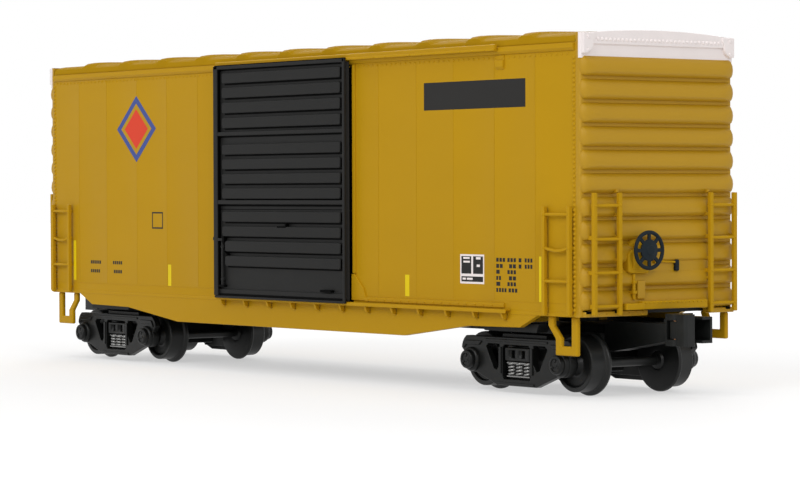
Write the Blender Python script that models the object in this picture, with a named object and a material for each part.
"""Three-rail O gauge model of a high-cube boxcar, built as named solids.

Units are metres, +Z is up, +X points to the end with the brake wheel and
-Y is the side that the photograph shows.  The wheel flanges stand on z = 0.
"""
import math

import bmesh
import bpy
from mathutils import Vector

# Car body
body_length = 0.2888
body_width = 0.0589
side_bottom_z = 0.0234
eave_z = 0.1012
wall = 0.0018
seat_gap = 0.0003
weld_distance = 0.000004
eave_strip_height = 0.0024
eave_strip_out = 0.0009

# Roof: half section from the eave to the crown, (share of half width, rise).
roof_shell_thickness = 0.0012
roof_rib_panels = 12
roof_rib_height = 0.0009
roof_rib_top_width = 0.0042
roof_rib_foot_width = 0.0074
roof_edge_rise = 0.0018
roof_shoulder_rise = 0.0027
roof_crown_rise = 0.0032
roof_edge_share = 0.975
roof_shoulder_share = 0.850

# Fish-belly skirt under the side: (inset from the body's end, depth share).
skirt_depth = 0.0080
skirt_end_inset = 0.0188
skirt_step_inset = 0.0268
skirt_slope_top_inset = 0.0505
skirt_slope_foot_inset = 0.0816
skirt_step_share = 0.46
skirt_slope_share = 0.50

# End wall: pressed ribs above and below the hand brake panel.
corner_chamfer = 0.0006
end_rib_depth = 0.0021
end_rib_pitch = 0.00645
end_rib_side_margin = 0.0007
end_rib_taper_length = 0.0052
end_rib_top_drop = 0.0034
end_upper_rib_count = 8
end_lower_rib_height = 0.0056
end_lower_rib_foot_rise = 0.0048
end_fascia_rise = 0.0026
end_fascia_height = 0.0032
end_fascia_out = 0.0010

# Doors
door_width = 0.0727
door_offset = 0.0009
door_thickness = 0.00215
door_frame_width = 0.0026
door_lip_thickness = 0.0006
door_foot_lip = 0.0008
door_head_lip = 0.0012
door_rib_depth = 0.0010
door_panel_inset = 0.0022
door_ribs_per_panel = 4
door_foot_rise = 0.0010
door_head_drop = 0.0005
door_panel_foot_shares = (0.136, 0.417, 0.722)
door_panel_head_shares = (0.383, 0.668, 0.973)
door_opening_margin = 0.0030
door_opening_foot_rise = 0.0046
door_opening_head_drop = 0.0052
track_ladder_gap = 0.0157
upper_track_shortfall = 0.0048
upper_track_height = 0.0020
lower_track_height = 0.0011
lower_track_bracket_drop = 0.0022
lower_track_bracket_width = 0.0022
lower_track_bracket_count = 12

# Ladders and steps
side_ladder_inset = 0.0086
side_ladder_width = 0.0122
end_ladder_width = 0.0118
side_ladder_top_z = 0.0548
side_ladder_bottom_z = 0.0238
side_ladder_rung_drop = 0.0023
side_ladder_rung_count = 3
end_ladder_inset = 0.0067
end_ladder_top_z = 0.0586
end_ladder_bottom_z = 0.0246
end_ladder_rung_drop = 0.0036
end_ladder_rung_count = 4
ladder_rung_pitch = 0.0095
ladder_rail_width = 0.0013
ladder_rail_depth = 0.0013
ladder_rung_radius = 0.00055
side_ladder_stand_off = 0.0007
end_ladder_stand_off = 0.0028
step_width = 0.0146
step_end_margin = 0.0008
step_drop = 0.0108
step_bar = 0.0018
step_thickness = 0.0015
step_setback = 0.00095
step_jog = 0.0033
step_jog_start_drop = 0.0030

# Hand brake gear and end platform
brake_wheel_y = -0.0084
brake_wheel_z = 0.0422
brake_wheel_radius = 0.0057
brake_wheel_rim = 0.0006
brake_wheel_hub_radius = 0.0031
brake_wheel_dish = 0.0011
brake_wheel_spokes = 8
brake_wheel_stand_off = 0.0056
brake_box_width = 0.0080
brake_box_height = 0.0104
brake_box_depth = 0.0034
brake_box_aside = 0.0014
brake_box_below = 0.0014
platform_ladder_gap = 0.00085
platform_depth = 0.0046
platform_thickness = 0.0018
end_sill_depth = 0.0016
end_sill_height = 0.0016

# Underframe
floor_thickness = 0.0018
floor_rise = 0.0006
centre_sill_width = 0.0100
centre_sill_depth = 0.0068
centre_sill_truck_gap = 0.0345
crossbearer_shares = (-0.80, -0.30, 0.30, 0.80)
crossbearer_width = 0.0020
crossbearer_end_depth = 0.0024
body_bolster_radius = 0.0060
body_bolster_depth = 0.0034
cylinder_radius = 0.0040
cylinder_length = 0.0140
cylinder_share = 0.55
reservoir_radius = 0.0045
reservoir_length = 0.0240
air_gear_y = 0.0145

# Trucks
truck_inset = 0.0345
wheelbase = 0.0406
axle_z = 0.0093
tread_radius = 0.0082
flange_radius = 0.0093
flange_thickness = 0.0015
wheel_width = 0.0064
back_to_back = 0.0284
axle_radius = 0.0014
wheel_dish = 0.0011
wheel_hub_radius = 0.0028
wheel_rim_radius = 0.0066
frame_inner_y = 0.0212
frame_thickness = 0.0020
frame_edge_round = 0.0003
frame_top_rise = 0.0070
frame_horn_radius = 0.0046
frame_bottom_drop = 0.0072
frame_chord = 0.0022
frame_leg = 0.0026
cap_radius = 0.0028
cap_length = 0.0015
cap_cup_radius = 0.0035
cap_cup_length = 0.0012
bolster_opening_width = 0.0128
bolster_top_gap = 0.0006
bolster_end_height = 0.0042
bolster_clearance = 0.0005
spring_radius = 0.00155
spring_wire = 0.00042
spring_spacing = 0.0036
spring_turns = 3
spring_columns = 3
spring_plate = 0.0005
bolster_low_z = 0.0054
centre_plate_width = 0.0290
centre_plate_half_span = 0.0190
centre_plate_thickness = 0.0026
kingpin_head_radius = 0.0030
kingpin_head_height = 0.0014

# Truck-mounted knuckle couplers
coupler_shank_width = 0.0060
coupler_shank_height = 0.0074
coupler_shank_drop = 0.0002
coupler_shank_rise = 0.0014
coupler_wall = 0.0008
coupler_face_reach = 0.0515
coupler_head_length = 0.0090
coupler_half_width = 0.0050
coupler_head_rise = 0.0041
coupler_head_height = 0.0091
coupler_lug_thickness = 0.0018
knuckle_pin_share = 0.34
knuckle_side_share = 0.66
knuckle_barrel_share = 0.32

round_steps = 24
cap_steps = 20
small_steps = 12
rung_steps = 6
coil_steps = 8
coil_sides = 5

# Derived sizes
half_length = body_length / 2.0
half_width = body_width / 2.0
floor_bottom_z = side_bottom_z + floor_rise
floor_top_z = floor_bottom_z + floor_thickness
inside_reach = half_length - wall - seat_gap
inside_half_width = half_width - wall - seat_gap
body_bolster_bottom_z = floor_bottom_z - body_bolster_depth
bolster_top_z = body_bolster_bottom_z - bolster_top_gap
truck_centre = half_length - truck_inset
door_bottom_z = side_bottom_z + door_foot_rise
door_top_z = eave_z - door_head_drop
door_back_y = half_width + eave_strip_out + seat_gap
track_reach = half_length - side_ladder_inset - side_ladder_width / 2.0 - track_ladder_gap
frame_outer_y = frame_inner_y + frame_thickness
cap_face_y = frame_outer_y + cap_cup_length + cap_length
coupler_bottom_z = bolster_top_z + coupler_head_rise - coupler_head_height
coupler_back_reach = coupler_face_reach - coupler_head_length

colours = {
    "yellow": (0.46, 0.26, 0.018),
    "white": (0.78, 0.74, 0.73),
    "dark": (0.037, 0.037, 0.035),
    "black": (0.022, 0.022, 0.021),
    "steel": (0.35, 0.35, 0.36),
}


def material_for(name, colour, metallic, roughness):
    """Own Principled material for one solid."""
    mat = bpy.data.materials.new(name + "_material")
    mat.use_nodes = True
    shader = mat.node_tree.nodes.get("Principled BSDF")
    red, green, blue = colours[colour]
    shader.inputs["Base Color"].default_value = (red, green, blue, 1.0)
    shader.inputs["Metallic"].default_value = metallic
    shader.inputs["Roughness"].default_value = roughness
    return mat


def clear_scene():
    for item in list(bpy.data.objects):
        bpy.data.objects.remove(item, do_unlink=True)


def solid(name, bm, colour, metallic=0.0, roughness=0.5, smooth=False, carrier=None):
    """Turn a bmesh into a named object, carried by an empty on its joint."""
    bmesh.ops.remove_doubles(bm, verts=bm.verts, dist=0.000001)
    bmesh.ops.recalc_face_normals(bm, faces=bm.faces)
    mesh = bpy.data.meshes.new(name)
    bm.to_mesh(mesh)
    bm.free()
    obj = bpy.data.objects.new(name, mesh)
    bpy.context.scene.collection.objects.link(obj)
    obj.data.materials.append(material_for(name, colour, metallic, roughness))
    for polygon in mesh.polygons:
        polygon.use_smooth = smooth
    if carrier is not None:
        obj.parent = carrier
        obj.matrix_parent_inverse = carrier.matrix_world.inverted()
    return obj


def joint_empty(name, location, carrier=None):
    """Empty on a joint axis that carries the pieces of one moving body."""
    empty = bpy.data.objects.new(name, None)
    bpy.context.scene.collection.objects.link(empty)
    empty.empty_display_size = wheelbase / 4.0
    if carrier is not None:
        empty.parent = carrier
        empty.matrix_parent_inverse = carrier.matrix_world.inverted()
    empty.matrix_world.translation = Vector(location)
    bpy.context.view_layer.update()
    return empty


def axis_point(axis, first, second, along):
    """Point from two in-plane coordinates and one along the axis."""
    if axis == "x":
        return Vector((along, first, second))
    if axis == "y":
        return Vector((first, along, second))
    return Vector((first, second, along))


def loft(sections, bm=None):
    """Closed skin through sections that have the same number of points."""
    bm = bm if bm is not None else bmesh.new()
    rings = []
    for section in sections:
        rings.append([bm.verts.new(point) for point in section])
    count = len(rings[0])
    for ring_a, ring_b in zip(rings, rings[1:]):
        for index in range(count):
            follower = (index + 1) % count
            bm.faces.new((ring_a[index], ring_a[follower], ring_b[follower], ring_b[index]))
    bm.faces.new(rings[0])
    bm.faces.new(rings[-1])
    return bm


def prism(outline, axis, low, high, bm=None):
    """Outline in the plane square to the axis, extruded from low to high."""
    near = [axis_point(axis, a, b, low) for a, b in outline]
    far = [axis_point(axis, a, b, high) for a, b in outline]
    return loft((near, far), bm)


def block(x_range, y_range, z_range, bm=None):
    x_low, x_high = x_range
    y_low, y_high = y_range
    outline = ((x_low, y_low), (x_high, y_low), (x_high, y_high), (x_low, y_high))
    return prism(outline, "z", z_range[0], z_range[1], bm)


def turned(profile, axis, centre, steps=round_steps):
    """Revolve (distance along axis, radius) points; radius zero at the ends."""
    bm = bmesh.new()
    centre = Vector(centre)
    rings = []
    for along, radius in profile:
        ring = []
        if radius <= 0.0:
            ring.append(bm.verts.new(centre + axis_point(axis, 0.0, 0.0, along)))
        else:
            for step in range(steps):
                angle = 2.0 * math.pi * step / steps
                offset = axis_point(axis, radius * math.cos(angle), radius * math.sin(angle), along)
                ring.append(bm.verts.new(centre + offset))
        rings.append(ring)
    for ring_a, ring_b in zip(rings, rings[1:]):
        for step in range(steps):
            follower = (step + 1) % steps
            if len(ring_a) == 1 and len(ring_b) == 1:
                continue
            if len(ring_a) == 1:
                bm.faces.new((ring_a[0], ring_b[follower], ring_b[step]))
            elif len(ring_b) == 1:
                bm.faces.new((ring_a[step], ring_a[follower], ring_b[0]))
            else:
                bm.faces.new((ring_a[step], ring_a[follower], ring_b[follower], ring_b[step]))
    return bm


def helper(name, bm):
    """Hidden operand of a Boolean."""
    obj = solid(name, bm, "black")
    obj.hide_render = True
    obj.display_type = "WIRE"
    return obj


def combine(obj, operands, operation):
    for number, operand in enumerate(operands):
        modifier = obj.modifiers.new(operation.lower() + str(number), "BOOLEAN")
        modifier.operation = operation
        modifier.solver = "EXACT"
        modifier.object = operand
    return obj


def finish_booleans(obj):
    """Apply the Booleans of one piece and clear its operands."""
    operands = [modifier.object for modifier in obj.modifiers if modifier.type == "BOOLEAN"]
    bpy.context.view_layer.update()
    graph = bpy.context.evaluated_depsgraph_get()
    mesh = bpy.data.meshes.new_from_object(obj.evaluated_get(graph))
    obj.modifiers.clear()
    bm = bmesh.new()
    bm.from_mesh(mesh)
    bmesh.ops.remove_doubles(bm, verts=bm.verts, dist=weld_distance)
    bmesh.ops.dissolve_degenerate(bm, edges=bm.edges, dist=weld_distance)
    bm.to_mesh(mesh)
    bm.free()
    obj.data = mesh
    for operand in operands:
        bpy.data.objects.remove(operand, do_unlink=True)
    return obj


def union_of(name, parts, colour, metallic=0.0, roughness=0.5, carrier=None):
    """One solid from overlapping simple solids."""
    base = solid(name, parts[0], colour, metallic, roughness, carrier=carrier)
    operands = [helper(name + "_part" + str(number), part) for number, part in enumerate(parts[1:])]
    combine(base, operands, "UNION")
    return finish_booleans(base)


# The shell
def roof_section(x, lift):
    """Roof skin at one place along the car, from eave to eave and back."""
    low = eave_z + seat_gap
    edge = half_width
    near = half_width * roof_edge_share
    shoulder = half_width * roof_shoulder_share
    inner_edge = half_width - wall
    skin = roof_shell_thickness
    half = ((edge, low), (edge, low + roof_edge_rise * 0.25), (near, low + roof_edge_rise + lift),
            (shoulder, low + roof_shoulder_rise + lift))
    under = ((0.0, low + roof_crown_rise - skin), (shoulder, low + roof_shoulder_rise - skin), (inner_edge, low))
    ring = [(y, z) for y, z in half] + [(0.0, low + roof_crown_rise + lift)]
    ring += [(-y, z) for y, z in reversed(half)]
    ring += [(-y, z) for y, z in reversed(under[1:])] + [under[0]] + list(under[1:])
    return [Vector((x, y, z)) for y, z in ring]


def build_roof():
    """Pressed roof: a raised seam rib between every two panels."""
    reach = inside_reach
    pitch = body_length / roof_rib_panels
    sections = [roof_section(-reach, 0.0)]
    for index in range(1, roof_rib_panels):
        centre = -half_length + pitch * index
        foot = roof_rib_foot_width / 2.0
        top = roof_rib_top_width / 2.0
        sections.append(roof_section(centre - foot, 0.0))
        sections.append(roof_section(centre - top, roof_rib_height))
        sections.append(roof_section(centre + top, roof_rib_height))
        sections.append(roof_section(centre + foot, 0.0))
    sections.append(roof_section(reach, 0.0))
    return solid("roof", loft(sections), "yellow")


def side_outline():
    """Side wall with its fish-belly skirt, in (x, z)."""
    step_z = side_bottom_z - skirt_depth * skirt_step_share
    slope_z = side_bottom_z - skirt_depth * skirt_slope_share
    skirt = ((half_length - skirt_end_inset, side_bottom_z), (half_length - skirt_step_inset, step_z),
             (half_length - skirt_slope_top_inset, slope_z),
             (half_length - skirt_slope_foot_inset, side_bottom_z - skirt_depth))
    points = [(-inside_reach, eave_z), (-inside_reach, side_bottom_z)]
    points += [(-x, z) for x, z in skirt]
    points += [(x, z) for x, z in reversed(skirt)]
    points += [(inside_reach, side_bottom_z), (inside_reach, eave_z)]
    return points


def build_side(name, sign):
    """Side wall with eave strip, lapped panel seams and its door opening."""
    outer = sign * half_width
    inner = sign * (half_width - wall)
    side = solid(name, prism(side_outline(), "y", inner, outer), "yellow")
    middle = sign * (half_width - wall / 2.0)
    centre = -sign * door_offset
    half = door_width / 2.0 - door_opening_margin
    strip_low = eave_z - eave_strip_height
    strip = ((middle, strip_low), (sign * (half_width + eave_strip_out * 0.4), strip_low),
             (sign * (half_width + eave_strip_out), strip_low + eave_strip_out),
             (sign * (half_width + eave_strip_out), eave_z - seat_gap), (middle, eave_z - seat_gap))
    extras = [helper(name + "_strip", prism(strip, "x", -inside_reach + seat_gap, inside_reach - seat_gap))]
    combine(side, extras, "UNION")
    cut_out = block((centre - half, centre + half), sorted((inner - sign * wall, outer + sign * wall)),
                    (side_bottom_z + door_opening_foot_rise, eave_z - door_opening_head_drop))
    combine(side, (helper(name + "_opening", cut_out),), "DIFFERENCE")
    return finish_booleans(side)


def end_section(sign, z, bulge):
    """End wall at one height; bulge is the pressed rib's depth there."""
    inner = half_length - wall
    edge = half_width
    shoulder = half_width - end_rib_side_margin
    full = shoulder - end_rib_taper_length
    middle = full + (shoulder - full) * 0.62
    face = half_length
    half = ((inner, edge), (face - corner_chamfer, edge), (face, edge - corner_chamfer), (face, shoulder),
            (face + bulge * 0.72, middle), (face + bulge, full))
    points = [(x, -y) for x, y in half] + [(x, y) for x, y in reversed(half)]
    return [Vector((sign * x, y, z)) for x, y in points]


def build_end(name, sign):
    """Pressed end: ribs, hand brake panel, bottom rib and a fascia."""
    bottom_rib_foot = side_bottom_z + end_lower_rib_foot_rise
    rows = [(side_bottom_z, 0.0), (bottom_rib_foot, 0.0)]
    for share, lift in ((0.22, 0.72), (0.42, 1.0), (0.58, 1.0), (0.78, 0.72), (1.0, 0.0)):
        rows.append((bottom_rib_foot + end_lower_rib_height * share, lift))
    first = eave_z - end_rib_top_drop - end_rib_pitch * end_upper_rib_count
    rows.append((first - end_rib_pitch * 0.10, 0.0))
    for index in range(end_upper_rib_count):
        foot = first + end_rib_pitch * index
        for share, lift in ((0.0, 0.0), (0.12, 0.42), (0.30, 0.86), (0.50, 1.0), (0.70, 0.86), (0.88, 0.42)):
            rows.append((foot + end_rib_pitch * share, lift))
    top = eave_z + end_fascia_rise
    rows.append((eave_z - end_rib_top_drop, 0.0))
    rows.append((top, 0.0))
    sections = [end_section(sign, z, end_rib_depth * lift) for z, lift in rows]
    end = solid(name, loft(sections), "yellow")
    low = top - end_fascia_height
    inner = half_length - wall / 2.0
    out = end_fascia_out
    edge = half_width - corner_chamfer
    profile = ((inner, low), (half_length + out * 0.3, low), (half_length + out, low + out), (half_length + out, top - out * 0.4),
               (half_length + out * 0.5, top - seat_gap / 3.0), (inner, top - seat_gap / 3.0))
    fascia = [[Vector((sign * x, y, z)) for x, z in profile] for y in (-edge, edge)]
    sill_top = side_bottom_z + end_sill_height
    sill = block(sorted((sign * inner, sign * (half_length + end_sill_depth))), (-edge, edge),
                 (side_bottom_z + seat_gap / 3.0, sill_top))
    combine(end, (helper(name + "_fascia", loft(fascia)), helper(name + "_sill", sill)), "UNION")
    return finish_booleans(end)


# Doors and their tracks
def door_section(sign, centre, z, back, relief, lift):
    """Horizontal section of a door: frame, groove and pressed panel."""
    front = door_back_y + door_thickness
    groove = front - relief
    face = groove + relief * lift
    half = door_width / 2.0
    frame = half - door_frame_width
    panel = frame - door_panel_inset
    shoulder = panel - door_panel_inset * 0.5
    ring = ((half, back), (half, front), (frame, front), (frame, groove), (panel, groove), (shoulder, face))
    points = [(x, y) for x, y in ring] + [(-x, y) for x, y in reversed(ring)]
    return [Vector((centre + x, sign * y, z)) for x, y in points]


def build_door(name, sign, carrier):
    """Sliding door: three pressed panels of ribs, and a lip over each track."""
    centre = -sign * door_offset
    height = door_top_z - door_bottom_z
    frame = door_frame_width
    lip_back = door_back_y + door_thickness - door_lip_thickness
    full_back = door_back_y
    relief = door_rib_depth
    rows = [(door_bottom_z, lip_back, 0.0, 0.0), (door_bottom_z + door_foot_lip, lip_back, 0.0, 0.0),
            (door_bottom_z + door_foot_lip, full_back, 0.0, 0.0), (door_bottom_z + frame, full_back, 0.0, 0.0),
            (door_bottom_z + frame, full_back, relief, 0.0)]
    for low, high in zip(door_panel_foot_shares, door_panel_head_shares):
        step = (high - low) / door_ribs_per_panel
        for index in range(door_ribs_per_panel):
            foot = low + step * index
            for share, lift in ((0.14, 0.0), (0.26, 0.75), (0.42, 1.0), (0.72, 1.0), (0.88, 0.75), (1.0, 0.0)):
                rows.append((door_bottom_z + height * (foot + step * share), full_back, relief, lift))
    head = door_top_z - door_head_lip
    rows += [(head - door_lip_thickness, full_back, relief, 0.0), (head - door_lip_thickness, full_back, 0.0, 0.0),
             (head, full_back, 0.0, 0.0), (head, lip_back, 0.0, 0.0), (door_top_z, lip_back, 0.0, 0.0)]
    sections = []
    last_z = None
    for z, back, row_relief, lift in rows:
        if last_z is not None and z - last_z < weld_distance * 2.0:
            z = last_z + weld_distance * 5.0
        sections.append(door_section(sign, centre, z, back, row_relief, lift))
        last_z = z
    return solid(name, loft(sections), "dark", roughness=0.55, carrier=carrier)


def build_tracks(suffix, sign):
    """Upper and lower door track of one side, the lower one on brackets."""
    centre = -sign * door_offset
    way = -sign
    outer = door_back_y + door_thickness - door_lip_thickness - seat_gap
    start = centre - way * (door_width / 2.0 + seat_gap)
    upper_low = door_top_z - door_head_lip + seat_gap
    upper_end = way * (track_reach - upper_track_shortfall)
    lip = upper_track_height * 0.35
    profile = ((door_back_y, upper_low), (outer, upper_low), (outer, upper_low + upper_track_height - lip),
               (outer - lip, upper_low + upper_track_height), (door_back_y, upper_low + upper_track_height))
    upper = [[Vector((x, sign * y, z)) for y, z in profile] for x in (start, upper_end)]
    solid("upper_track_" + suffix, loft(upper), "yellow")
    top = door_bottom_z + door_foot_lip - seat_gap
    low = top - lower_track_height
    end = way * track_reach
    points = [(start, top), (start, low)]
    bracket = lower_track_bracket_width
    pitch = (end - start - way * bracket * 2.0) / (lower_track_bracket_count - 1)
    for index in range(lower_track_bracket_count):
        left = start + way * bracket * 0.5 + pitch * index
        foot = low - lower_track_bracket_drop
        points += [(left, low), (left + way * bracket * 0.3, foot), (left + way * bracket * 0.7, foot),
                   (left + way * bracket, low)]
    points += [(end, low), (end, top)]
    lower = prism(points, "y", sign * (half_width + seat_gap), sign * outer)
    solid("lower_track_" + suffix, lower, "yellow")


# Ladders and steps
def rail_and_rungs(frame, width, top, bottom, rung_drop, count, stand_off, relief):
    """Parts of one ladder; frame maps (across, out, z) to a point."""
    half = width / 2.0
    parts = []

    def bar(across_range, out_range, z_range):
        a_low, a_high = across_range
        o_low, o_high = out_range
        sections = []
        for z in z_range:
            sections.append([frame(a_low, o_low, z), frame(a_high, o_low, z), frame(a_high, o_high, z),
                             frame(a_low, o_high, z)])
        return loft(sections)

    middle = stand_off + ladder_rail_depth / 2.0
    rail_ranges = ((-half, -half + ladder_rail_width), (half - ladder_rail_width, half))
    for across in rail_ranges:
        parts.append(bar(across, (stand_off, stand_off + ladder_rail_depth), (bottom, top)))
    for index in range(count):
        z = top - rung_drop - ladder_rung_pitch * index
        rings = []
        for across in (-half + ladder_rail_width / 2.0, half - ladder_rail_width / 2.0):
            ring = []
            for step in range(rung_steps):
                angle = 2.0 * math.pi * (step + 0.5) / rung_steps
                ring.append(frame(across, middle + ladder_rung_radius * math.cos(angle),
                                  z + ladder_rung_radius * math.sin(angle)))
            rings.append(ring)
        parts.append(loft(rings))
    foot = ladder_rung_radius * 1.1
    for index in (0, count - 1):
        z = top - rung_drop - ladder_rung_pitch * index
        start = relief + seat_gap if index == 0 else seat_gap
        for a_low, a_high in rail_ranges:
            inset = (a_high - a_low) * 0.2
            parts.append(bar((a_low + inset, a_high - inset), (start, middle), (z - foot, z + foot)))
    return parts


def build_side_ladder(name, sign_x, sign_y):
    centre = sign_x * (half_length - side_ladder_inset)

    def frame(across, out, z):
        return Vector((centre + across, sign_y * (half_width + out), z))
    parts = rail_and_rungs(frame, side_ladder_width, side_ladder_top_z, side_ladder_bottom_z,
                           side_ladder_rung_drop, side_ladder_rung_count, side_ladder_stand_off, 0.0)
    union_of(name, parts, "yellow")


def build_end_ladder(name, sign_x, sign_y):
    centre = sign_y * (half_width - end_ladder_inset)

    def frame(across, out, z):
        return Vector((sign_x * (half_length + out), centre + across, z))
    parts = rail_and_rungs(frame, end_ladder_width, end_ladder_top_z, end_ladder_bottom_z,
                           end_ladder_rung_drop, end_ladder_rung_count, end_ladder_stand_off, end_rib_depth)
    union_of(name, parts, "yellow")


def build_step(name, sign_x, sign_y):
    """Stirrup step under a corner, its inner leg joggled outwards."""
    right = half_length - step_end_margin
    left = right - step_width
    top = side_bottom_z - seat_gap
    low = top - step_drop
    bar = step_bar
    jog_top = top - step_jog_start_drop
    jog_low = jog_top - step_jog
    points = ((left, top), (left, jog_top), (left + step_jog, jog_low), (left + step_jog, low), (right, low),
              (right, top), (right - bar, top), (right - bar, low + bar), (left + step_jog + bar, low + bar),
              (left + step_jog + bar, jog_low + bar * 0.4), (left + bar, jog_top + bar * 0.4), (left + bar, top))
    outline = [(sign_x * x, z) for x, z in points]
    outer = half_width - step_setback
    solid(name, prism(outline, "y", sign_y * (outer - step_thickness), sign_y * outer), "yellow")


# Hand brake, platforms and underframe
def ring_of(centre, radius, rim, steps):
    """Closed ring square to X with a diamond section."""
    bm = bmesh.new()
    rings = []
    for step in range(steps):
        angle = 2.0 * math.pi * step / steps
        ring = []
        for along, out in ((-rim, 0.0), (0.0, rim), (rim, 0.0), (0.0, -rim)):
            reach = radius + out
            offset = Vector((along, reach * math.cos(angle), reach * math.sin(angle)))
            ring.append(bm.verts.new(centre + offset))
        rings.append(ring)
    for index in range(steps):
        ring_a = rings[index]
        ring_b = rings[(index + 1) % steps]
        for corner in range(4):
            follower = (corner + 1) % 4
            bm.faces.new((ring_a[corner], ring_a[follower], ring_b[follower], ring_b[corner]))
    return bm


def build_brake_wheel():
    """Dished hub, spokes and rim, on a stub that ends at the housing."""
    rim = brake_wheel_rim
    base_x = half_length + brake_wheel_stand_off
    centre = Vector((base_x, brake_wheel_y, brake_wheel_z))
    hub = brake_wheel_hub_radius
    stub = half_length + brake_box_depth + seat_gap * 2.0 - base_x
    parts = [turned(((stub, 0.0), (stub, hub * 0.4), (-brake_wheel_dish, hub * 0.45), (-rim * 0.4, hub), (rim * 0.6, hub),
                     (rim * 0.6 + brake_wheel_dish * 0.5, hub * 0.4), (rim * 0.6 + brake_wheel_dish * 0.5, 0.0)), "x", centre)]
    parts.append(ring_of(centre, brake_wheel_radius - rim, rim, round_steps))
    for index in range(brake_wheel_spokes):
        angle = 2.0 * math.pi * (index + 0.5) / brake_wheel_spokes
        across = Vector((0.0, -math.sin(angle), math.cos(angle))) * rim * 0.6
        along = Vector((0.0, math.cos(angle), math.sin(angle)))
        deep = Vector((rim * 0.4, 0.0, 0.0))
        spoke = []
        for distance in (hub * 0.8, brake_wheel_radius - rim):
            point = centre + along * distance
            spoke.append([point - across - deep, point + across - deep, point + across + deep, point - across + deep])
        parts.append(loft(spoke))
    union_of("brake_wheel", parts, "dark", metallic=0.2)


def build_brake_box():
    """Hand brake housing behind the wheel, with bevelled edges."""
    x_low = half_length + seat_gap
    top = half_length + brake_box_depth
    edge = brake_box_depth * 0.3
    centre_y = brake_wheel_y - brake_box_aside
    centre_z = brake_wheel_z - brake_box_below
    sections = []
    for x, inset in ((x_low, 0.0), (top - edge, 0.0), (top, edge)):
        half_y = brake_box_width / 2.0 - inset
        half_z = brake_box_height / 2.0 - inset
        ring = ((-half_y, -half_z), (half_y, -half_z), (half_y, half_z), (-half_y, half_z))
        sections.append([Vector((x, centre_y + y, centre_z + z)) for y, z in ring])
    solid("brake_housing", loft(sections), "yellow")


def build_platform(name, sign):
    """Crossover platform over the coupler, on the end sill."""
    low = side_bottom_z + end_sill_height + seat_gap
    near = half_length + seat_gap
    far = half_length + platform_depth
    thick = platform_thickness
    profile = ((near, low), (far - thick * 0.5, low), (far, low + thick * 0.3), (far, low + thick), (near, low + thick))
    half = half_width - end_ladder_inset - end_ladder_width / 2.0 - platform_ladder_gap
    sections = [[Vector((sign * x, y, z)) for x, z in profile] for y in (-half, half)]
    solid(name, loft(sections), "yellow")


def build_underframe():
    """Floor with its two pivot bosses, then the centre sill and bearers."""
    overlap = floor_thickness / 2.0
    parts = [block((-inside_reach, inside_reach), (-inside_half_width, inside_half_width), (floor_bottom_z, floor_top_z))]
    for sign in (-1.0, 1.0):
        boss = ((body_bolster_bottom_z, 0.0), (body_bolster_bottom_z, body_bolster_radius),
                (floor_bottom_z + overlap, body_bolster_radius), (floor_bottom_z + overlap, 0.0))
        parts.append(turned(boss, "z", (sign * truck_centre, 0.0, 0.0)))
    union_of("floor", parts, "black", roughness=0.6)
    reach = truck_centre - centre_sill_truck_gap
    half = centre_sill_width / 2.0
    top = floor_bottom_z - seat_gap
    low = top - centre_sill_depth
    flange = centre_sill_depth * 0.15
    web = half * 0.55
    profile = ((-half, low), (half, low), (half, low + flange), (web, low + flange), (web, top), (-web, top),
               (-web, low + flange), (-half, low + flange))
    sill = [prism(profile, "x", -reach, reach)]
    for share in crossbearer_shares:
        x = share * reach
        thick = crossbearer_width / 2.0
        depth = top - crossbearer_end_depth
        outline = ((-inside_half_width, depth), (-half, low + flange * 0.5), (half, low + flange * 0.5),
                   (inside_half_width, depth), (inside_half_width, top), (-inside_half_width, top))
        sill.append(prism(outline, "x", x - thick, x + thick))
    union_of("centre_sill", sill, "black", roughness=0.6)


def build_air_gear():
    """Brake cylinder and air reservoir, hung under the floor."""
    reach = truck_centre - centre_sill_truck_gap
    rows = (("brake_cylinder", cylinder_radius, cylinder_length, reach * cylinder_share, air_gear_y),
            ("air_reservoir", reservoir_radius, reservoir_length, 0.0, -air_gear_y))
    for name, radius, length, x, y in rows:
        half = length / 2.0
        dome = radius * 0.3
        z = floor_bottom_z - seat_gap - radius
        profile = ((-half, 0.0), (-half, radius * 0.55), (-half + dome * 0.5, radius * 0.88), (-half + dome, radius),
                   (half - dome, radius), (half - dome * 0.5, radius * 0.88), (half, radius * 0.55), (half, 0.0))
        solid(name, turned(profile, "x", (x, y, z), small_steps * 2), "black")


# Trucks
def build_wheelset(name, centre_x, carrier):
    """Axle with both wheels, turned as one: hub, dished web, rim and flange."""
    back = back_to_back / 2.0
    front = back + wheel_width
    tip = cap_face_y - cap_length
    journal = axle_radius * 0.8
    flange = flange_thickness
    half = [
        (tip, 0.0), (tip, journal), (front, journal), (front, wheel_hub_radius), (front - wheel_dish, wheel_hub_radius * 1.2),
        (front - wheel_dish, wheel_rim_radius * 0.96), (front, wheel_rim_radius), (front, tread_radius * 0.985),
        (back + flange * 1.2, tread_radius), (back + flange * 0.8, flange_radius), (back, flange_radius * 0.98),
        (back, wheel_hub_radius), (back - wheel_dish, axle_radius),
    ]
    profile = [(-along, radius) for along, radius in half] + [(along, radius) for along, radius in reversed(half)]
    solid(name, turned(profile, "y", (centre_x, 0.0, axle_z)), "black", metallic=0.4, roughness=0.4, smooth=True,
          carrier=carrier)


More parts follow.
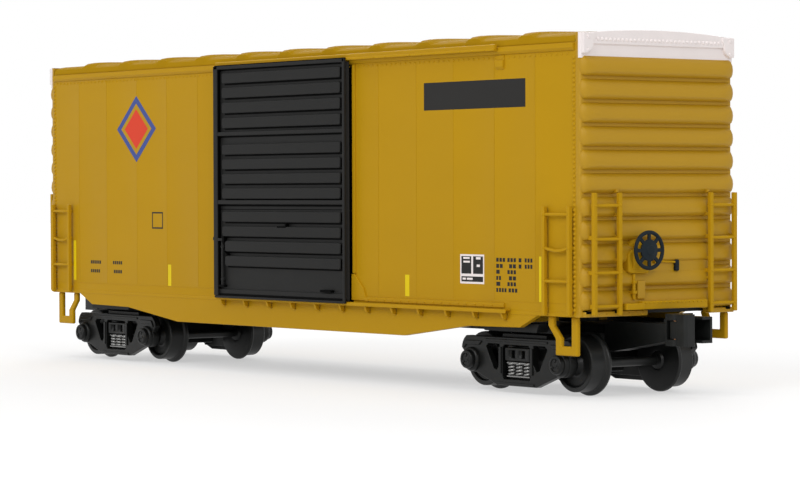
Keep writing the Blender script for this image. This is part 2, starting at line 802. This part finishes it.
def frame_outline():
    """Cast side frame seen from the side: (x from the truck's centre, z)."""
    half = wheelbase / 2.0
    top = axle_z + frame_top_rise
    horn = frame_horn_radius
    low = axle_z - frame_bottom_drop
    points = [(half * 0.44, low)]
    points.append((half - cap_cup_radius * 0.55, axle_z - cap_cup_radius * 1.05))
    for step in range(7):
        angle = math.radians(-70.0 + 24.0 * step)
        if angle > math.radians(30.0):
            break
        points.append((half + cap_cup_radius * 1.12 * math.cos(angle), axle_z + cap_cup_radius * 1.12 * math.sin(angle)))
    for step in range(5):
        angle = math.radians(4.0 + 22.0 * step)
        points.append((half + horn * 0.12 + horn * math.cos(angle), top - horn * 0.86 + horn * math.sin(angle)))
    points.append((half * 0.72, top))
    mirrored = [(-x, z) for x, z in reversed(points)]
    return points + mirrored


def frame_windows():
    """Bolster opening and the two triangles beside it."""
    half = wheelbase / 2.0
    top = axle_z + frame_top_rise - frame_chord
    low = axle_z - frame_bottom_drop + frame_chord * 0.85
    pocket = bolster_opening_width / 2.0
    chamfer = frame_chord * 0.4
    opening = [(-pocket * 0.92, low), (pocket * 0.92, low), (pocket, low + chamfer), (pocket, top - chamfer),
               (pocket - chamfer, top), (-pocket + chamfer, top), (-pocket, top - chamfer), (-pocket, low + chamfer)]
    windows = [opening]
    column = pocket + frame_leg * 0.55
    above = top + chamfer * 0.25
    for way in (-1.0, 1.0):
        windows.append([(way * column, above), (way * half * 0.64, above - chamfer * 0.3), (way * (half * 0.64 + chamfer), above - chamfer),
                        (way * (column + frame_leg * 0.9), axle_z - frame_leg * 0.5), (way * column, axle_z + frame_leg * 0.2)])
    return windows


def plate_with_windows(name, outline, windows, low_y, high_y, edge):
    """Plate in the XZ plane with holes and softened edges, from a filled curve."""
    curve = bpy.data.curves.new(name + "_curve", "CURVE")
    curve.dimensions = "2D"
    curve.fill_mode = "BOTH"
    curve.extrude = abs(high_y - low_y) / 2.0 - edge
    curve.bevel_depth = edge
    curve.bevel_resolution = 0
    for points in [outline] + windows:
        spline = curve.splines.new("POLY")
        spline.points.add(len(points) - 1)
        for point, (x, z) in zip(spline.points, points):
            point.co = (x, z, 0.0, 1.0)
        spline.use_cyclic_u = True
    carrier = bpy.data.objects.new(name + "_curve", curve)
    bpy.context.scene.collection.objects.link(carrier)
    bpy.context.view_layer.update()
    graph = bpy.context.evaluated_depsgraph_get()
    mesh = bpy.data.meshes.new_from_object(carrier.evaluated_get(graph))
    bpy.data.objects.remove(carrier, do_unlink=True)
    bm = bmesh.new()
    bm.from_mesh(mesh)
    bmesh.ops.remove_doubles(bm, verts=bm.verts, dist=weld_distance)
    middle = (low_y + high_y) / 2.0
    for vert in bm.verts:
        x, z, depth = vert.co
        vert.co = (x, middle + depth, z)
    return bm


def build_side_frame(name, truck_x, sign, carrier):
    """Cast side frame with its two bearing cups and end caps."""
    low_y, high_y = sorted((sign * frame_inner_y, sign * frame_outer_y))
    outline = [(truck_x + x, z) for x, z in frame_outline()]
    windows = [[(truck_x + x, z) for x, z in window] for window in frame_windows()]
    plate = plate_with_windows(name, outline, windows, low_y, high_y, frame_edge_round)
    base = solid(name, plate, "black", roughness=0.45, carrier=carrier)
    half = wheelbase / 2.0
    caps = []
    bores = []
    for number, way in enumerate((-1.0, 1.0)):
        centre = (truck_x + way * half, 0.0, axle_z)
        root = frame_inner_y + frame_thickness * 0.4
        cup = frame_outer_y + cap_cup_length
        face = cap_face_y
        round_off = cap_radius * 0.12
        profile = ((sign * root, 0.0), (sign * root, cap_cup_radius), (sign * cup, cap_cup_radius), (sign * cup, cap_radius),
                   (sign * (face - round_off), cap_radius), (sign * face, cap_radius - round_off), (sign * face, 0.0))
        caps.append(helper(name + "_cap" + str(number), turned(profile, "y", centre, cap_steps)))
        inside = sign * frame_inner_y * 0.9
        end = sign * (cap_face_y - cap_length + seat_gap)
        radius = axle_radius * 0.8 + seat_gap
        bore = ((inside, 0.0), (inside, radius), (end, radius), (end, 0.0))
        bores.append(helper(name + "_bore" + str(number), turned(bore, "y", centre, small_steps)))
    combine(base, caps, "UNION")
    combine(base, bores, "DIFFERENCE")
    return finish_booleans(base)


def coil(centre_x, centre_y, low, high):
    """Helical wire, its ends sunk into the two seat plates."""
    sections = []
    steps = spring_turns * coil_steps
    for step in range(steps + 1):
        share = step / steps
        angle = 2.0 * math.pi * spring_turns * share
        z = low + (high - low) * share
        out = Vector((math.cos(angle), math.sin(angle), 0.0))
        centre = Vector((centre_x, centre_y, z)) + out * (spring_radius - spring_wire)
        ring = []
        for side in range(coil_sides):
            turn = 2.0 * math.pi * side / coil_sides
            offset = out * spring_wire * math.cos(turn) + Vector((0.0, 0.0, spring_wire * math.sin(turn)))
            ring.append(centre + offset)
        sections.append(ring)
    return loft(sections)


def build_spring_nest(name, truck_x, sign, carrier):
    """Coil springs between two seat plates, in the side frame's opening."""
    low = axle_z - frame_bottom_drop + frame_chord * 0.85 + frame_edge_round + bolster_clearance
    high = axle_z + frame_top_rise - frame_chord - bolster_end_height - bolster_clearance * 2.0
    plate = spring_plate
    half_x = spring_spacing * (spring_columns - 1) / 2.0 + spring_radius
    y_range = sorted((sign * (frame_outer_y - seat_gap), sign * (frame_outer_y - seat_gap - spring_radius * 2.0)))
    middle = sum(y_range) / 2.0
    x_range = (truck_x - half_x, truck_x + half_x)
    parts = [block(x_range, y_range, (low, low + plate)), block(x_range, y_range, (high - plate, high))]
    for index in range(spring_columns):
        x = truck_x + spring_spacing * (index - (spring_columns - 1) / 2.0)
        parts.append(coil(x, middle, low + plate * 0.5, high - plate * 0.5))
    return union_of(name, parts, "steel", metallic=0.6, carrier=carrier)


def build_bolster(name, truck_x, carrier):
    """Bolster with its wide centre plate; its ends show in the side frames."""
    reach = frame_outer_y - seat_gap
    half = bolster_opening_width / 2.0 - frame_edge_round - bolster_clearance
    end_top = axle_z + frame_top_rise - frame_chord - frame_edge_round - bolster_clearance
    end_low = end_top - bolster_end_height + frame_edge_round
    inner = back_to_back / 2.0
    outline = ((-reach, end_low), (-inner, end_low), (-inner * 0.9, bolster_low_z), (inner * 0.9, bolster_low_z),
               (inner, end_low), (reach, end_low), (reach, end_top), (inner, end_top), (inner * 0.9, bolster_top_z),
               (-inner * 0.9, bolster_top_z), (-inner, end_top), (-reach, end_top))
    beam = prism(outline, "x", truck_x - half, truck_x + half)
    plate_low = bolster_top_z - centre_plate_thickness
    plate_half = centre_plate_width / 2.0
    slope = centre_plate_thickness * 0.7
    profile = [(truck_x - plate_half, plate_low), (truck_x + plate_half, plate_low),
               (truck_x + plate_half - slope, bolster_top_z), (truck_x - plate_half + slope, bolster_top_z)]
    plate = prism(profile, "y", -centre_plate_half_span, centre_plate_half_span)
    return union_of(name, (beam, plate), "black", carrier=carrier)


def coupler_pin(truck_x, sign):
    """Centre of the knuckle pin."""
    back = truck_x + sign * coupler_back_reach
    return back + sign * coupler_head_length * knuckle_pin_share, -coupler_half_width * knuckle_side_share * sign


def build_coupler(name, truck_x, sign, carrier):
    """Shank from the bolster, back plate, guard arm pocket and knuckle lugs."""
    half = coupler_shank_width / 2.0
    start = truck_x + sign * (centre_plate_width / 2.0 + seat_gap)
    back = truck_x + sign * coupler_back_reach
    wide = coupler_half_width
    depth = coupler_head_length
    shank_top = bolster_top_z - coupler_shank_drop
    shank_low = shank_top - coupler_shank_height
    low = coupler_bottom_z
    high = coupler_bottom_z + coupler_head_height
    rise = coupler_shank_rise
    end = back + sign * depth * 0.10
    side = ((start, shank_low), (start, shank_top), (start + sign * rise * 2.0, shank_top + rise),
            (end, shank_top + rise), (end, low + rise), (start + sign * rise * 3.0, shank_low))
    parts = [prism(side, "y", -half, half)]

    def at(along, across):
        return back + sign * depth * along, sign * wide * across
    # Plan of the back plate with its middle web, as shares of the head.
    plate_shares = ((0.0, -0.60), (0.06, -1.0), (0.12, -1.0), (0.12, -0.22), (0.42, -0.10), (0.42, 0.10), (0.12, 0.22),
                    (0.12, 1.08), (0.06, 1.08), (0.0, 0.60))
    parts.append(prism([at(a, b) for a, b in plate_shares], "z", low, high))
    wall_share = coupler_wall / wide
    guard_shares = ((0.09, 1.08 - wall_share), (1.0, 1.08 - wall_share), (1.0, 1.08), (0.09, 1.08))
    inset = coupler_wall
    parts.append(prism([at(a, b) for a, b in guard_shares], "z", low + inset, high - inset))
    lid_shares = ((0.09, -0.05), (0.44, -0.05), (0.62, 0.22), (1.0, 0.30), (1.0, 1.08 - wall_share * 0.5),
                  (0.09, 1.08 - wall_share * 0.5))
    for lid_low in (low + inset, high - inset * 2.0):
        parts.append(prism([at(a, b) for a, b in lid_shares], "z", lid_low, lid_low + coupler_wall))
    pin_x, pin_y = coupler_pin(truck_x, sign)
    reach = wide * knuckle_barrel_share
    root = back + sign * depth * 0.09
    for lug_low, lug_high in ((low, low + coupler_lug_thickness), (high - coupler_lug_thickness, high)):
        lug = [(root, pin_y - sign * reach)]
        for step in range(7):
            angle = math.radians(-90.0 + 30.0 * step)
            lug.append((pin_x + sign * reach * math.cos(angle), pin_y + sign * reach * math.sin(angle)))
        lug.append((root, pin_y + sign * reach))
        parts.append(prism(lug, "z", lug_low, lug_high))
    return union_of(name, parts, "black", carrier=carrier)


def build_knuckle(name, truck_x, sign, carrier):
    """Knuckle: a barrel between the lugs, and a nose of the head's height."""
    wide = coupler_half_width
    pin_x, pin_y = coupler_pin(truck_x, sign)
    radius = wide * knuckle_barrel_share
    low = coupler_bottom_z
    high = coupler_bottom_z + coupler_head_height
    lug = coupler_lug_thickness + seat_gap
    face = truck_x + sign * coupler_face_reach
    outer = -sign * wide
    inner = -sign * wide * 0.20
    barrel = []
    for step in range(7):
        angle = math.radians(90.0 + 30.0 * step)
        barrel.append((pin_x + sign * radius * math.cos(angle), pin_y + sign * radius * math.sin(angle)))
    nose_back = pin_x + sign * (radius + seat_gap * 2.0)
    barrel += [(nose_back + sign * radius * 0.5, pin_y - sign * radius), (nose_back + sign * radius * 0.5, pin_y + sign * radius)]
    nose = ((nose_back, outer), (face - sign * radius * 0.5, outer), (face, outer + sign * radius * 0.5),
            (face, inner - sign * radius * 0.3), (face - sign * radius * 0.3, inner), (nose_back + sign * radius * 0.5, inner),
            (nose_back, inner - sign * radius * 0.4))
    parts = [prism(barrel, "z", low + lug, high - lug), prism(nose, "z", low, high)]
    return union_of(name, parts, "black", carrier=carrier)


def build_kingpin(name, truck_x, carrier):
    """Pivot screw's head under the bolster."""
    under = bolster_low_z - seat_gap
    head = kingpin_head_height
    radius = kingpin_head_radius
    profile = ((under - head, 0.0), (under - head, radius * 0.6), (under - head * 0.7, radius * 0.9),
               (under - head * 0.3, radius), (under, radius), (under, 0.0))
    return solid(name, turned(profile, "z", (truck_x, 0.0, 0.0), cap_steps), "steel", metallic=0.7, carrier=carrier)


def build_truck(letter, sign):
    truck_x = sign * truck_centre
    prefix = "truck_" + letter
    pivot = joint_empty(prefix + "_pivot", (truck_x, 0.0, bolster_top_z))
    build_bolster(prefix + "_bolster", truck_x, pivot)
    for side_name, side in (("front", -1.0), ("back", 1.0)):
        build_side_frame(prefix + "_frame_" + side_name, truck_x, side, pivot)
        build_spring_nest(prefix + "_springs_" + side_name, truck_x, side, pivot)
    build_coupler("coupler_" + letter, truck_x, sign, pivot)
    build_kingpin("kingpin_" + letter, truck_x, pivot)
    for number, way in ((1, sign), (2, -sign)):
        x = truck_x + way * wheelbase / 2.0
        name = "wheelset_" + letter + str(number)
        axle = joint_empty(name + "_axle", (x, 0.0, axle_z), pivot)
        build_wheelset(name, x, axle)
    pin_x, pin_y = coupler_pin(truck_x, sign)
    pin = joint_empty("knuckle_" + letter + "_pin", (pin_x, pin_y, coupler_bottom_z), pivot)
    build_knuckle("knuckle_" + letter, truck_x, sign, pin)


def main():
    clear_scene()
    build_roof()
    build_side("side_front", -1.0)
    build_side("side_back", 1.0)
    build_end("end_b", 1.0)
    build_end("end_a", -1.0)
    build_underframe()
    build_air_gear()
    for suffix, sign in (("front", -1.0), ("back", 1.0)):
        carrier = joint_empty("door_" + suffix + "_slide", (-sign * door_offset, sign * half_width, door_bottom_z))
        build_door("door_" + suffix, sign, carrier)
        build_tracks(suffix, sign)
    for letter, sign_x in (("b", 1.0), ("a", -1.0)):
        for suffix, sign_y in (("front", -1.0), ("back", 1.0)):
            build_side_ladder("side_ladder_" + letter + "_" + suffix, sign_x, sign_y)
            build_end_ladder("end_ladder_" + letter + "_" + suffix, sign_x, sign_y)
            build_step("step_" + letter + "_" + suffix, sign_x, sign_y)
        build_platform("platform_" + letter, sign_x)
    build_brake_wheel()
    build_brake_box()
    build_truck("b", 1.0)
    build_truck("a", -1.0)


main()
